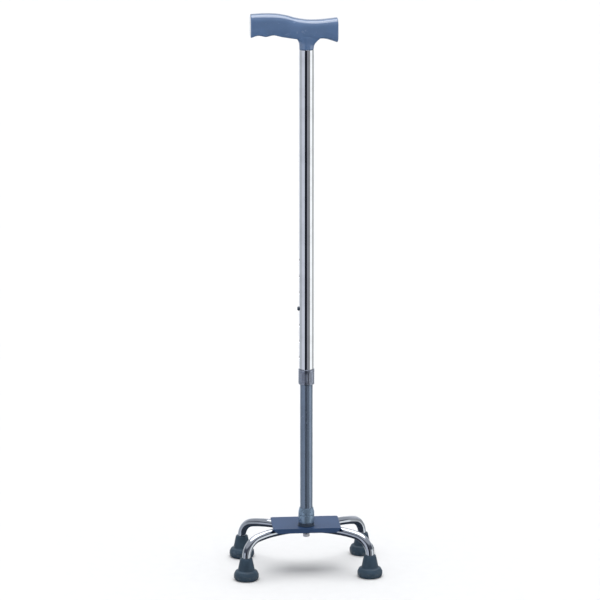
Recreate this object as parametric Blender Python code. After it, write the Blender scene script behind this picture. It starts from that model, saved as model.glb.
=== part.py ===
"""Quad walking cane with a small four-footed base.

World frame: +Z up along the shaft, X across the front, -Y towards the front. Z = 0 is the floor
and the origin is the middle of the footprint. The shaft stands SHAFT_Y in front of that middle.
All the driving dimensions below are in millimetres.
"""
import math

import bmesh
import bpy
from mathutils import Vector

MM = 0.001
GAP = 0.3

# Footprint and shaft position
FOOT_X = 94.0
REAR_FOOT_X = 93.0
SHAFT_Y = -22.5
FRONT_FOOT_Y = -35.0
REAR_FOOT_Y = 80.0

# Lower (inner) tube
LOWER_R = 9.525
LOWER_WALL = 1.2
LOWER_BOTTOM_Z = 74.6
LOWER_TOP_Z = 457.0

# Upper (outer) tube
UPPER_R = 11.1
UPPER_WALL = 1.2
UPPER_BOTTOM_Z = 304.0
UPPER_TOP_Z = 806.4
THREAD_R = 10.7
THREAD_TOP_Z = 319.0

# Height adjustment
HOLE_PITCH = 25.0
HOLES_EACH_WAY = 3
HOLE_R = 3.6
BUTTON_Z = 412.0
BUTTON_R = 3.2
BUTTON_PROUD = 2.6
BUTTON_FLANGE_R = 4.2
BUTTON_FLANGE_X = -6.8
BUTTON_FLANGE_T = 1.0

# Lock ring and collet
RING_R = 12.0
RING_BOTTOM_Z = 295.3
RING_TOP_Z = 318.4
RING_BORE_R = 11.0
RING_LIP_R = 9.86
RING_FLUTES = 20
COLLET_R = 10.6
COLLET_BORE_R = 9.84
COLLET_SLOT = 2.0

# Socket on the base
SOCKET_R = 12.15
SOCKET_BORE_R = 9.85
PLATE_TOP_Z = 72.0
SOCKET_RING_TOP_Z = 77.4
SOCKET_SEAM_Z = 89.6
SOCKET_CONE_Z = 93.6
SOCKET_TOP_Z = 100.6

# Base plate
PLATE_HALF_X = 51.5
PLATE_FRONT_Y = -18.2
PLATE_BACK_Y = 45.2
PLATE_T = 2.0
SKIRT_DEPTH = 7.2
SKIRT_T = 1.8
SKIRT_HALF_X = 49.0
SKIRT_CHAMFER = 5.0
REAR_SKIRT_HALF_X = 25.0
PLATE_BEVEL = 0.9

# Leg tubes
LEG_R = 6.35
LEG_WALL = 1.2
LEG_Z = 63.3
LEG_END_Z = 10.4
LEG_SIDES = 16
FRONT_BOW_Y = 11.5
FRONT_BOW_R = 76.0
FRONT_BOW_DEG = 34.0
FRONT_BEND_R = 27.0
FRONT_SLOPE_DEG = 10.0
REAR_BOW_Y = 27.5
REAR_BOW_R = 98.0
REAR_BOW_DEG = 44.0
REAR_BEND_R = 27.0
REAR_SLOPE_DEG = 15.0
SLOPE_START_X = 50.0

# Rubber tips: radius and height pairs from the floor up
TIP_BORE_R = 6.7
TIP_BORE_FLOOR = 8.0
TIP_PROFILE = (
    (17.2, 0.0),
    (18.6, 1.8),
    (19.0, 5.2),
    (18.2, 10.0),
    (16.2, 12.9),
    (12.8, 14.6),
    (11.9, 19.5),
    (10.2, 28.0),
    (8.8, 32.2),
    (7.4, 33.3),
)
TIP_GROOVE_DEPTH = 1.6
TIP_GROOVES = ((7.0, 9.4), (12.0, 14.4))
TIP_SIDES = 24

# Handle: smooth top and under lines of the grip pass through these (x, z) points
GRIP_TOP_LINE = (
    (-82.0, 860.2),
    (-68.0, 860.93),
    (-48.0, 860.6),
    (-32.0, 858.3),
    (-14.0, 853.3),
    (3.0, 850.9),
    (22.0, 851.1),
    (45.0, 853.4),
)
GRIP_UNDER_LINE = (
    (-82.0, 824.8),
    (-72.0, 828.0),
    (-60.5, 826.0),
    (-49.0, 828.2),
    (-36.0, 825.3),
    (-8.0, 821.2),
    (10.0, 821.1),
    (26.0, 822.5),
    (45.0, 816.9),
)
GRIP_HALF_WIDTH = 14.0
GRIP_END_SWELL = 0.5
GRIP_STATIONS = 30
GRIP_END_EDGES = ((1.3, 1.5), (0.9, 0.5))
HANDLE_RING = 28
HANDLE_SQUARENESS = 2.7
NECK_STATIONS = (
    (806.8, 11.0, 11.0, 11.0),
    (809.0, 11.0, 11.0, 11.0),
    (812.0, 11.0, 11.7, 11.0),
    (815.0, 11.3, 13.2, 11.2),
    (818.0, 12.2, 15.6, 11.6),
    (821.0, 13.9, 18.9, 12.1),
    (824.0, 16.6, 22.4, 12.6),
    (828.0, 19.5, 24.5, 12.8),
    (834.0, 19.5, 24.5, 12.0),
)
SPIGOT_R = 9.55
SPIGOT_BOTTOM_Z = 768.0
RIVET_Z = 787.0
RIVET_R = 2.4
RIVET_HEAD_R = 4.6
RIVET_HEAD_T = 1.7

# Centre bolt
BOLT_R = 3.0
BOLT_SHOULDER_R = 4.7
BOLT_HEAD_R = 5.5
BOLT_HEAD_BOTTOM_Z = 54.6
BOLT_HEAD_TOP_Z = 59.0
BOLT_TOP_Z = 92.0
WASHER_T = 1.5
PLUG_TOP_Z = 96.0

ROUND = 32
SMALL_ROUND = 20
TUBE_SIDES = 40


def make_material(name, colour, metallic, roughness):
    """One Principled material."""
    material = bpy.data.materials.new(name)
    material.use_nodes = True
    material.diffuse_color = (*colour, 1.0)
    shader = material.node_tree.nodes["Principled BSDF"]
    shader.inputs["Base Color"].default_value = (*colour, 1.0)
    shader.inputs["Metallic"].default_value = metallic
    shader.inputs["Roughness"].default_value = roughness
    return material


FINISHES = {
    "handle_plastic": ((0.09, 0.15, 0.25), 0.0, 0.25),
    "chrome": ((0.62, 0.64, 0.68), 1.0, 0.12),
    "dark_chrome": ((0.20, 0.25, 0.33), 1.0, 0.18),
    "ring_metal": ((0.25, 0.28, 0.36), 1.0, 0.35),
    "plate_paint": ((0.10, 0.15, 0.24), 0.0, 0.40),
    "socket_paint": ((0.08, 0.13, 0.21), 0.3, 0.30),
    "black_plastic": ((0.015, 0.022, 0.035), 0.0, 0.45),
    "white_plastic": ((0.55, 0.55, 0.52), 0.0, 0.45),
    "rubber": ((0.035, 0.055, 0.070), 0.0, 0.75),
    "steel": ((0.45, 0.45, 0.46), 1.0, 0.30),
    "spring_steel": ((0.30, 0.30, 0.32), 1.0, 0.30),
}


def to_object(name, bm, finish, smooth=True):
    """Turns a bmesh drawn in millimetres into a named object in metres."""
    bmesh.ops.scale(bm, vec=(MM, MM, MM), verts=bm.verts)
    bmesh.ops.recalc_face_normals(bm, faces=bm.faces)
    for face in bm.faces:
        face.smooth = smooth
    mesh = bpy.data.meshes.new(name)
    bm.to_mesh(mesh)
    bm.free()
    obj = bpy.data.objects.new(name, mesh)
    bpy.context.scene.collection.objects.link(obj)
    mesh.materials.append(make_material(name + "_mat", *FINISHES[finish]))
    return obj


def ring_points(radius, z, count, centre=(0.0, SHAFT_Y)):
    """A level circle of points."""
    return [
        Vector(
            (
                centre[0] + radius * math.cos(2 * math.pi * i / count),
                centre[1] + radius * math.sin(2 * math.pi * i / count),
                z,
            )
        )
        for i in range(count)
    ]


def skin(bm, loops, closed):
    """Joins loops of equal length with quads. A closed skin returns to its first loop."""
    rows = [[bm.verts.new(p) for p in loop] for loop in loops]
    pairs = list(zip(rows, rows[1:]))
    if closed:
        pairs.append((rows[-1], rows[0]))
    count = len(rows[0])
    for low, high in pairs:
        for i in range(count):
            j = (i + 1) % count
            bm.faces.new((low[i], low[j], high[j], high[i]))
    if not closed:
        bm.faces.new(list(reversed(rows[0])))
        bm.faces.new(rows[-1])


def turned(name, profile, finish, count=ROUND, centre=(0.0, SHAFT_Y), hollow=False):
    """A turned piece from (radius, z) pairs: a solid with end caps, or a ring when hollow."""
    bm = bmesh.new()
    skin(bm, [ring_points(r, z, count, centre) for r, z in profile], hollow)
    return to_object(name, bm, finish)


def subtract(target, cutter):
    """Cuts one object out of another. The cutter stays as a hidden guide."""
    modifier = target.modifiers.new("cut_" + cutter.name, "BOOLEAN")
    modifier.operation = "DIFFERENCE"
    modifier.solver = "EXACT"
    modifier.object = cutter
    cutter.hide_render = True
    cutter.display_type = "WIRE"


def unite(target, other):
    """Joins another closed shape on to an object. The other shape stays as a hidden guide."""
    modifier = target.modifiers.new("join_" + other.name, "BOOLEAN")
    modifier.operation = "UNION"
    modifier.solver = "EXACT"
    modifier.object = other
    other.hide_render = True
    other.display_type = "WIRE"


def pin_shape(name, start, end, radius, count=SMALL_ROUND):
    """A plain round bar between two points in millimetres."""
    axis = (end - start).normalized()
    side = axis.cross(Vector((0.0, 0.0, 1.0)))
    if side.length < 1e-6:
        side = Vector((1.0, 0.0, 0.0))
    side.normalize()
    up = axis.cross(side)
    bm = bmesh.new()
    loops = []
    for centre in (start, end):
        loop = []
        for i in range(count):
            turn = 2 * math.pi * i / count
            loop.append(centre + (side * math.cos(turn) + up * math.sin(turn)) * radius)
        loops.append(loop)
    skin(bm, loops, False)
    return to_object(name, bm, "steel")


def box_shape(name, low, high):
    """A plain block between two corners in millimetres."""
    bm = bmesh.new()
    loops = []
    for z in (low[2], high[2]):
        loops.append(
            [
                Vector((low[0], low[1], z)),
                Vector((high[0], low[1], z)),
                Vector((high[0], high[1], z)),
                Vector((low[0], high[1], z)),
            ]
        )
    skin(bm, loops, False)
    return to_object(name, bm, "steel", smooth=False)


def move_origin(obj, point):
    """Puts an object's origin on a point in millimetres without moving its faces."""
    shift = Vector(point) * MM
    for vertex in obj.data.vertices:
        vertex.co -= shift
    obj.location = shift


def line_slope(points, i):
    """Slope of a smooth line at one of its points."""
    before = points[max(i - 1, 0)]
    after = points[min(i + 1, len(points) - 1)]
    return (after[1] - before[1]) / (after[0] - before[0])


def line_height(points, x):
    """Height at x of the smooth line through a few points."""
    i = 0
    while i < len(points) - 2 and x > points[i + 1][0]:
        i += 1
    width = points[i + 1][0] - points[i][0]
    t = (x - points[i][0]) / width
    start = points[i][1]
    rise = points[i + 1][1] - start
    lift_in = line_slope(points, i) * width
    lift_out = line_slope(points, i + 1) * width
    bend = lift_in + lift_out - 2.0 * rise
    return start + t * (lift_in + t * (3.0 * rise - 2.0 * lift_in - lift_out + t * bend))


def handle_section(x, inset, step):
    """One rounded cross-section of the grip in the YZ plane, set in from its lines near the ends."""
    top = line_height(GRIP_TOP_LINE, x) - inset
    under = line_height(GRIP_UNDER_LINE, x) + inset
    swell = GRIP_END_SWELL * max(0.0, (x - 30.0) / 15.0)
    half_width = GRIP_HALF_WIDTH + swell - inset
    centre = 0.5 * (top + under)
    half_height = 0.5 * (top - under)
    power = 2.0 / HANDLE_SQUARENESS
    loop = []
    for i in range(HANDLE_RING):
        turn = 2 * math.pi * i / HANDLE_RING
        c = math.cos(turn)
        s = math.sin(turn)
        y = half_width * math.copysign(abs(c) ** power, c)
        z = half_height * math.copysign(abs(s) ** power, s)
        loop.append(Vector((x + step, SHAFT_Y + y, centre + z)))
    return loop


def neck_section(z, left, right, half_width):
    """One level cross-section of the neck, longer towards +X where its fillet is larger."""
    loop = []
    for i in range(ROUND):
        turn = 2 * math.pi * i / ROUND
        c = math.cos(turn)
        reach = right if c > 0 else left
        loop.append(Vector((reach * c, SHAFT_Y + half_width * math.sin(turn), z)))
    return loop


def make_handle():
    """The moulded grip with its neck and the spigot that goes down inside the upper tube."""
    bm = bmesh.new()
    left = GRIP_TOP_LINE[0][0]
    right = GRIP_TOP_LINE[-1][0]
    sections = [handle_section(left, inset, -step) for step, inset in GRIP_END_EDGES]
    for i in range(GRIP_STATIONS + 1):
        x = left + (right - left) * i / GRIP_STATIONS
        sections.append(handle_section(x, 0.0, 0.0))
    sections += [handle_section(right, inset, step) for step, inset in reversed(GRIP_END_EDGES)]
    skin(bm, sections, False)
    handle = to_object("handle", bm, "handle_plastic")
    bm = bmesh.new()
    loops = [
        ring_points(SPIGOT_R - 1.0, SPIGOT_BOTTOM_Z, ROUND),
        ring_points(SPIGOT_R, SPIGOT_BOTTOM_Z + 1.5, ROUND),
        ring_points(SPIGOT_R, NECK_STATIONS[0][0], ROUND),
    ]
    loops += [neck_section(*station) for station in NECK_STATIONS]
    skin(bm, loops, False)
    neck = to_object("guide_neck", bm, "handle_plastic")
    unite(handle, neck)
    start = Vector((0.0, SHAFT_Y - 1.0, RIVET_Z))
    end = Vector((0.0, SHAFT_Y + 30.0, RIVET_Z))
    subtract(handle, pin_shape("guide_rivet_bore", start, end, RIVET_R + GAP))
    return handle


def make_rivet():
    """The rivet through the far side of the upper tube into the handle's spigot."""
    inner = Vector((0.0, SHAFT_Y - 0.5, RIVET_Z))
    seat = Vector((0.0, SHAFT_Y + UPPER_R + GAP + 0.05, RIVET_Z))
    bm = bmesh.new()
    loops = []
    reach = (seat - inner).length
    shape = (
        (0.0, RIVET_R - 0.4),
        (0.6, RIVET_R),
        (reach, RIVET_R),
        (reach, RIVET_HEAD_R),
        (reach + 0.5 * RIVET_HEAD_T, RIVET_HEAD_R - 0.3),
        (reach + 0.85 * RIVET_HEAD_T, RIVET_HEAD_R - 1.5),
        (reach + RIVET_HEAD_T, RIVET_HEAD_R - 3.2),
    )
    for along, radius in shape:
        loop = []
        for i in range(SMALL_ROUND):
            turn = 2 * math.pi * i / SMALL_ROUND
            offset = Vector((radius * math.cos(turn), along, radius * math.sin(turn)))
            loop.append(inner + offset)
        loops.append(loop)
    skin(bm, loops, False)
    return to_object("handle_rivet", bm, "steel")


def make_upper_tube():
    """The outer tube: a turned-down end for the lock ring and a row of button holes."""
    bore = UPPER_R - UPPER_WALL
    profile = (
        (THREAD_R - 0.3, UPPER_BOTTOM_Z),
        (THREAD_R, UPPER_BOTTOM_Z + 0.5),
        (THREAD_R, THREAD_TOP_Z),
        (UPPER_R - 0.15, THREAD_TOP_Z),
        (UPPER_R, THREAD_TOP_Z + 0.3),
        (UPPER_R, UPPER_TOP_Z - 0.3),
        (UPPER_R - 0.3, UPPER_TOP_Z),
        (bore + 0.2, UPPER_TOP_Z),
        (bore, UPPER_TOP_Z - 0.4),
        (bore, UPPER_BOTTOM_Z + 0.4),
        (bore + 0.2, UPPER_BOTTOM_Z),
    )
    tube = turned("upper_tube", profile, "chrome", count=TUBE_SIDES, hollow=True)
    for i in range(-HOLES_EACH_WAY, HOLES_EACH_WAY + 1):
        z = BUTTON_Z + i * HOLE_PITCH
        start = Vector((-20.0, SHAFT_Y, z))
        end = Vector((-2.0, SHAFT_Y, z))
        subtract(tube, pin_shape(f"guide_hole_{i + HOLES_EACH_WAY}", start, end, HOLE_R))
    start = Vector((0.0, SHAFT_Y + 2.0, RIVET_Z))
    end = Vector((0.0, SHAFT_Y + 20.0, RIVET_Z))
    subtract(tube, pin_shape("guide_rivet_hole", start, end, RIVET_R + GAP))
    return tube


def make_lower_tube():
    """The inner tube with one hole for the snap button."""
    bore = LOWER_R - LOWER_WALL
    profile = (
        (LOWER_R - 0.3, LOWER_BOTTOM_Z),
        (LOWER_R, LOWER_BOTTOM_Z + 0.3),
        (LOWER_R, LOWER_TOP_Z - 0.3),
        (LOWER_R - 0.3, LOWER_TOP_Z),
        (bore, LOWER_TOP_Z),
        (bore, LOWER_BOTTOM_Z),
    )
    tube = turned("lower_tube", profile, "dark_chrome", count=TUBE_SIDES, hollow=True)
    start = Vector((-20.0, SHAFT_Y, BUTTON_Z))
    end = Vector((-2.0, SHAFT_Y, BUTTON_Z))
    subtract(tube, pin_shape("guide_button_hole", start, end, HOLE_R))
    return tube


def make_guide_bush():
    """The plastic bush that keeps the inner tube's top end central in the outer tube."""
    profile = (
        (LOWER_R - LOWER_WALL - GAP, LOWER_TOP_Z - 14.0),
        (LOWER_R - LOWER_WALL - GAP, LOWER_TOP_Z + GAP),
        (9.3, LOWER_TOP_Z + GAP),
        (9.58, LOWER_TOP_Z + GAP + 0.4),
        (9.58, LOWER_TOP_Z + GAP + 3.6),
        (9.0, LOWER_TOP_Z + GAP + 4.2),
        (6.6, LOWER_TOP_Z + GAP + 4.2),
        (6.4, LOWER_TOP_Z + GAP + 3.9),
        (6.4, LOWER_TOP_Z - 14.0),
    )
    return turned("top_guide_bush", profile, "white_plastic", hollow=True)


def make_snap_button():
    """The sprung button: a domed pin with a flange that stays inside the inner tube."""
    tip = -(UPPER_R + BUTTON_PROUD)
    inner_face = BUTTON_FLANGE_X + BUTTON_FLANGE_T
    shape = (
        (inner_face, BUTTON_FLANGE_R),
        (BUTTON_FLANGE_X, BUTTON_FLANGE_R),
        (BUTTON_FLANGE_X, BUTTON_R),
        (tip + 1.9, BUTTON_R),
        (tip + 1.1, BUTTON_R - 0.25),
        (tip + 0.5, BUTTON_R - 0.8),
        (tip + 0.12, BUTTON_R - 1.6),
        (tip, BUTTON_R - 2.4),
    )
    bm = bmesh.new()
    loops = []
    for x, radius in shape:
        loop = []
        for i in range(SMALL_ROUND):
            turn = 2 * math.pi * i / SMALL_ROUND
            y = SHAFT_Y + radius * math.cos(turn)
            loop.append(Vector((x, y, BUTTON_Z + radius * math.sin(turn))))
        loops.append(loop)
    skin(bm, loops, False)
    button = to_object("snap_button", bm, "black_plastic")
    move_origin(button, (tip, SHAFT_Y, BUTTON_Z))
    return button


def make_button_spring():
    """The bent leaf behind the button: one leg on the button, one on the far wall of the tube."""
    half_width = 3.0
    thick = 0.5
    near = BUTTON_FLANGE_X + BUTTON_FLANGE_T + GAP
    far = 7.4
    low = BUTTON_Z - 34.0
    middle = [
        (near, BUTTON_Z + 5.0),
        (near, BUTTON_Z),
        (near, BUTTON_Z - 6.0),
        (near + 1.0, BUTTON_Z - 18.0),
    ]
    bend_r = 3.2
    for i in range(9):
        turn = math.pi - math.pi * i / 8
        middle.append((near + 5.6 + bend_r * math.cos(turn), low - bend_r * math.sin(turn)))
    middle += [
        (far - 1.8, BUTTON_Z - 18.0),
        (far - 0.5, BUTTON_Z - 6.0),
        (far - 0.3, BUTTON_Z + 2.0),
        (far - 1.2, BUTTON_Z + 8.0),
    ]
    loops = []
    for i, point in enumerate(middle):
        before = Vector(middle[max(i - 1, 0)])
        after = Vector(middle[min(i + 1, len(middle) - 1)])
        along = (after - before).normalized()
        side = Vector((along.y, -along.x)) * 0.5 * thick
        loop = []
        for sign, y in ((1, -half_width), (1, half_width), (-1, half_width), (-1, -half_width)):
            loop.append(Vector((point[0] + sign * side.x, SHAFT_Y + y, point[1] + sign * side.y)))
        loops.append(loop)
    shift = 0.5 * thick
    for loop in loops:
        for corner in loop:
            corner.x += shift
    bm = bmesh.new()
    skin(bm, loops, False)
    return to_object("button_spring", bm, "spring_steel", smooth=False)


def make_lock_ring():
    """The fluted lock ring with a taper seat for the collet."""
    wave = (0.0, -0.3, -0.3)
    count = RING_FLUTES * len(wave)

    def outer(radius, z, depth):
        loop = []
        for i in range(count):
            turn = 2 * math.pi * i / count
            r = radius + depth * wave[i % len(wave)]
            loop.append(Vector((r * math.cos(turn), SHAFT_Y + r * math.sin(turn), z)))
        return loop

    def inner(radius, z):
        return ring_points(radius, z, count)

    band_top = RING_TOP_Z - 3.6
    band_low = RING_BOTTOM_Z + 2.2
    loops = [
        outer(RING_R - 0.5, RING_BOTTOM_Z, 0.0),
        outer(RING_R, RING_BOTTOM_Z + 0.5, 0.0),
        outer(RING_R, band_low - 0.4, 0.0),
        outer(RING_R, band_low, 1.0),
        outer(RING_R, band_top, 1.0),
        outer(RING_R, band_top + 0.4, 0.0),
        outer(RING_R, RING_TOP_Z - 0.5, 0.0),
        outer(RING_R - 0.45, RING_TOP_Z, 0.0),
        inner(RING_BORE_R, RING_TOP_Z),
        inner(RING_BORE_R, RING_BOTTOM_Z + 4.6),
        inner(RING_LIP_R + 0.5, RING_BOTTOM_Z + 1.4),
        inner(RING_LIP_R, RING_BOTTOM_Z + 1.0),
        inner(RING_LIP_R, RING_BOTTOM_Z),
    ]
    bm = bmesh.new()
    skin(bm, loops, True)
    ring = to_object("lock_ring", bm, "ring_metal")
    move_origin(ring, (0.0, SHAFT_Y, RING_BOTTOM_Z))
    return ring


def make_collet():
    """The split collet that the ring squeezes on to the inner tube."""
    low = RING_BOTTOM_Z + 2.2
    high = UPPER_BOTTOM_Z - GAP
    profile = (
        (COLLET_BORE_R, low),
        (COLLET_BORE_R + 0.25, low),
        (COLLET_R, low + 2.2),
        (COLLET_R, high),
        (COLLET_BORE_R, high),
    )
    collet = turned("lock_collet", profile, "white_plastic", hollow=True)
    half = 0.5 * COLLET_SLOT
    slot = box_shape(
        "guide_collet_slot",
        (5.0, SHAFT_Y - half, low - 2.0),
        (15.0, SHAFT_Y + half, high + 2.0),
    )
    subtract(collet, slot)
    move_origin(collet, (0.0, SHAFT_Y, low))
    return collet


def make_socket():
    """The tapered cap, the sleeve and the dark ring that hold the inner tube on the base."""
    cap = (
        (SOCKET_BORE_R, SOCKET_SEAM_Z + 0.2),
        (SOCKET_R - 0.3, SOCKET_SEAM_Z + 0.2),
        (SOCKET_R, SOCKET_SEAM_Z + 0.5),
        (SOCKET_R, SOCKET_CONE_Z),
        (SOCKET_R - 0.45, SOCKET_CONE_Z + 1.4),
        (10.75, SOCKET_TOP_Z - 0.8),
        (10.35, SOCKET_TOP_Z),
        (SOCKET_BORE_R, SOCKET_TOP_Z),
    )
    sleeve_low = SOCKET_RING_TOP_Z + GAP
    sleeve = (
        (SOCKET_BORE_R, sleeve_low),
        (SOCKET_R - 0.2, sleeve_low),
        (SOCKET_R, sleeve_low + 0.2),
        (SOCKET_R, SOCKET_SEAM_Z - 0.4),
        (SOCKET_R - 0.3, SOCKET_SEAM_Z - 0.1),
        (SOCKET_BORE_R, SOCKET_SEAM_Z - 0.1),
    )
    foot = (
        (SOCKET_BORE_R, PLATE_TOP_Z + GAP),
        (SOCKET_R + 0.5, PLATE_TOP_Z + GAP),
        (SOCKET_R + 0.5, PLATE_TOP_Z + 1.4),
        (SOCKET_R - 0.1, PLATE_TOP_Z + 2.2),
        (SOCKET_R - 0.1, SOCKET_RING_TOP_Z - 0.3),
        (SOCKET_R - 0.4, SOCKET_RING_TOP_Z),
        (SOCKET_BORE_R, SOCKET_RING_TOP_Z),
    )
    return [
        turned("socket_cap", cap, "socket_paint", hollow=True),
        turned("socket_sleeve", sleeve, "socket_paint", hollow=True),
        turned("socket_ring", foot, "black_plastic", hollow=True),
    ]


def make_base_plate():
    """The pressed plate: a flat top, a long front skirt and a short rear skirt."""
    top = PLATE_TOP_Z
    low = top - PLATE_T
    front = SHAFT_Y + PLATE_FRONT_Y
    back = SHAFT_Y + PLATE_BACK_Y
    bevel = PLATE_BEVEL
    half = PLATE_HALF_X
    bm = bmesh.new()
    loops = []
    for z, inset in ((low, 0.0), (top - bevel, 0.0), (top, bevel)):
        loops.append(
            [
                Vector((-half + inset, front + inset, z)),
                Vector((half - inset, front + inset, z)),
                Vector((half - inset, back - inset, z)),
                Vector((-half + inset, back - inset, z)),
            ]
        )
    skin(bm, loops, False)
    plate = to_object("base_plate", bm, "plate_paint", smooth=False)
    bottom = top - SKIRT_DEPTH
    for name, y_out, y_in, half_x in (
        ("guide_front_skirt", front, front + SKIRT_T, SKIRT_HALF_X),
        ("guide_rear_skirt", back, back - SKIRT_T, REAR_SKIRT_HALF_X),
    ):
        outline = (
            (-half_x, low + 0.5),
            (-half_x, bottom + SKIRT_CHAMFER * 0.6),
            (-half_x + SKIRT_CHAMFER, bottom),
            (half_x - SKIRT_CHAMFER, bottom),
            (half_x, bottom + SKIRT_CHAMFER * 0.6),
            (half_x, low + 0.5),
        )
        bm = bmesh.new()
        loops = [[Vector((x, y, z)) for x, z in outline] for y in (y_out, y_in)]
        skin(bm, loops, False)
        unite(plate, to_object(name, bm, "plate_paint", smooth=False))
    start = Vector((0.0, SHAFT_Y, low - 3.0))
    end = Vector((0.0, SHAFT_Y, top + 3.0))
    subtract(plate, pin_shape("guide_bolt_hole", start, end, BOLT_R + GAP))
    return plate


def bow_point(bow_y, radius, degrees, outward):
    """A point on a leg tube's level bow, mirrored by the caller for the left side."""
    turn = math.radians(degrees)
    y = bow_y + outward * radius * (1.0 - math.cos(turn))
    return Vector((radius * math.sin(turn), y, LEG_Z))


def leg_path(bow_y, bow_r, bow_deg, outward, foot_x, foot_y, bend_r, slope_deg):
    """Centre line of half a leg tube: level bow, gentle fall, down bend, straight into the tip."""
    steps = 6
    path = [bow_point(bow_y, bow_r, bow_deg * i / steps, outward) for i in range(steps + 1)]
    slope = math.radians(slope_deg)
    foot = Vector((foot_x, foot_y, LEG_Z))
    away = (foot - path[-1]).normalized()
    start = foot - away * bend_r * (1.0 - math.sin(slope))
    fall_length = (start.x - SLOPE_START_X) / away.x
    fall = 0.5 * math.tan(slope) * fall_length
    for point in path:
        part = max(0.0, (point.x - SLOPE_START_X) / (start.x - SLOPE_START_X))
        point.z -= fall * part * part
    start.z -= fall
    for i in range(8):
        turn = slope + (0.5 * math.pi - slope) * i / 7
        along = bend_r * (math.sin(turn) - math.sin(slope))
        drop = bend_r * (math.cos(slope) - math.cos(turn))
        path.append(start + away * along - Vector((0.0, 0.0, drop)))
    path.append(Vector((foot_x, foot_y, LEG_END_Z)))
    return path


def make_leg_tube(name, half):
    """A bent tube with both its ends down, drawn as one hollow sweep from half its centre line."""
    left = [Vector((-p.x, p.y, p.z)) for p in reversed(half[1:])]
    path = left + half
    count = LEG_SIDES
    tangents = []
    for i in range(len(path)):
        before = path[max(i - 1, 0)]
        after = path[min(i + 1, len(path) - 1)]
        tangents.append((after - before).normalized())
    tangents[0] = Vector((0.0, 0.0, 1.0))
    tangents[-1] = Vector((0.0, 0.0, -1.0))
    side = Vector((0.0, 1.0, 0.0))
    frames = []
    for tangent in tangents:
        side = (side - tangent * side.dot(tangent)).normalized()
        frames.append((side, tangent.cross(side)))
    loops = []
    for radius, order in ((LEG_R, 1), (LEG_R - LEG_WALL, -1)):
        for point, (a, b) in list(zip(path, frames))[::order]:
            loop = []
            for i in range(count):
                turn = 2 * math.pi * i / count
                x = point.x + radius * (a.x * math.cos(turn) + b.x * math.sin(turn))
                y = point.y + radius * (a.y * math.cos(turn) + b.y * math.sin(turn))
                z = point.z + radius * (a.z * math.cos(turn) + b.z * math.sin(turn))
                loop.append(Vector((x, SHAFT_Y + y, z)))
            loops.append(loop)
    bm = bmesh.new()
    skin(bm, loops, True)
    return to_object(name, bm, "chrome")


def make_centre_bolt():
    """The shoulder bolt that screws up through the plate into the foot plug."""
    shape = (
        (BOLT_SHOULDER_R - 0.6, BOLT_HEAD_TOP_Z - 0.05),
        (BOLT_SHOULDER_R, BOLT_HEAD_TOP_Z - 0.05),
        (BOLT_SHOULDER_R, PLATE_TOP_Z - PLATE_T - 2 * GAP - WASHER_T),
        (BOLT_R, PLATE_TOP_Z - PLATE_T - 2 * GAP - WASHER_T),
        (BOLT_R, BOLT_TOP_Z - 0.8),
        (BOLT_R - 0.7, BOLT_TOP_Z),
    )
    bolt = turned("centre_bolt", shape, "steel", count=SMALL_ROUND)
    bm = bmesh.new()
    loops = []
    for z, radius in (
        (BOLT_HEAD_BOTTOM_Z, BOLT_HEAD_R - 0.5),
        (BOLT_HEAD_BOTTOM_Z + 0.5, BOLT_HEAD_R),
        (BOLT_HEAD_TOP_Z, BOLT_HEAD_R),
    ):
        loop = []
        for i in range(6):
            turn = math.radians(60.0 * i + 30.0)
            loop.append(Vector((radius * math.cos(turn), SHAFT_Y + radius * math.sin(turn), z)))
        loops.append(loop)
    skin(bm, loops, False)
    head = to_object("guide_bolt_head", bm, "steel", smooth=False)
    unite(bolt, head)
    return bolt


def make_washer():
    """The washer between the bolt's shoulder and the underside of the plate."""
    low = PLATE_TOP_Z - PLATE_T - GAP - WASHER_T
    high = low + WASHER_T
    profile = (
        (BOLT_R + GAP, low),
        (5.6, low),
        (5.6, high),
        (BOLT_R + GAP, high),
    )
    return turned("centre_washer", profile, "steel", hollow=True)


def make_foot_plug():
    """The threaded plug in the bottom end of the inner tube."""
    radius = LOWER_R - LOWER_WALL - GAP
    profile = (
        (BOLT_R + GAP, PLATE_TOP_Z + GAP),
        (9.4, PLATE_TOP_Z + GAP),
        (9.4, LOWER_BOTTOM_Z - GAP),
        (radius, LOWER_BOTTOM_Z - GAP),
        (radius, PLUG_TOP_Z - 0.8),
        (radius - 0.8, PLUG_TOP_Z),
        (BOLT_R + GAP, PLUG_TOP_Z),
    )
    return turned("tube_foot_plug", profile, "steel", hollow=True)


def make_tip(side, end, x, y):
    """One rubber tip with a blind bore for the leg and ring treads under it."""
    centre = (x, SHAFT_Y + y)
    floor = []
    for inner, outer in TIP_GROOVES:
        floor += [(inner, 0.0), (inner, TIP_GROOVE_DEPTH), (outer, TIP_GROOVE_DEPTH), (outer, 0.0)]
    profile = [(2.0, 0.0)] + floor + list(TIP_PROFILE)
    profile += [(TIP_BORE_R, TIP_PROFILE[-1][1]), (TIP_BORE_R, TIP_BORE_FLOOR)]
    bm = bmesh.new()
    loops = [ring_points(r, z, TIP_SIDES, centre) for r, z in profile]
    skin(bm, loops, False)
    tip = to_object(f"tip_{end}_{side}", bm, "rubber")
    washer = (
        (2.0, TIP_BORE_FLOOR + GAP),
        (TIP_BORE_R - GAP, TIP_BORE_FLOOR + GAP),
        (TIP_BORE_R - GAP, LEG_END_Z - GAP),
        (2.0, LEG_END_Z - GAP),
    )
    turned(f"tip_washer_{end}_{side}", washer, "steel", 16, centre, True)
    return tip


for old in list(bpy.data.objects):
    bpy.data.objects.remove(old, do_unlink=True)

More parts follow.
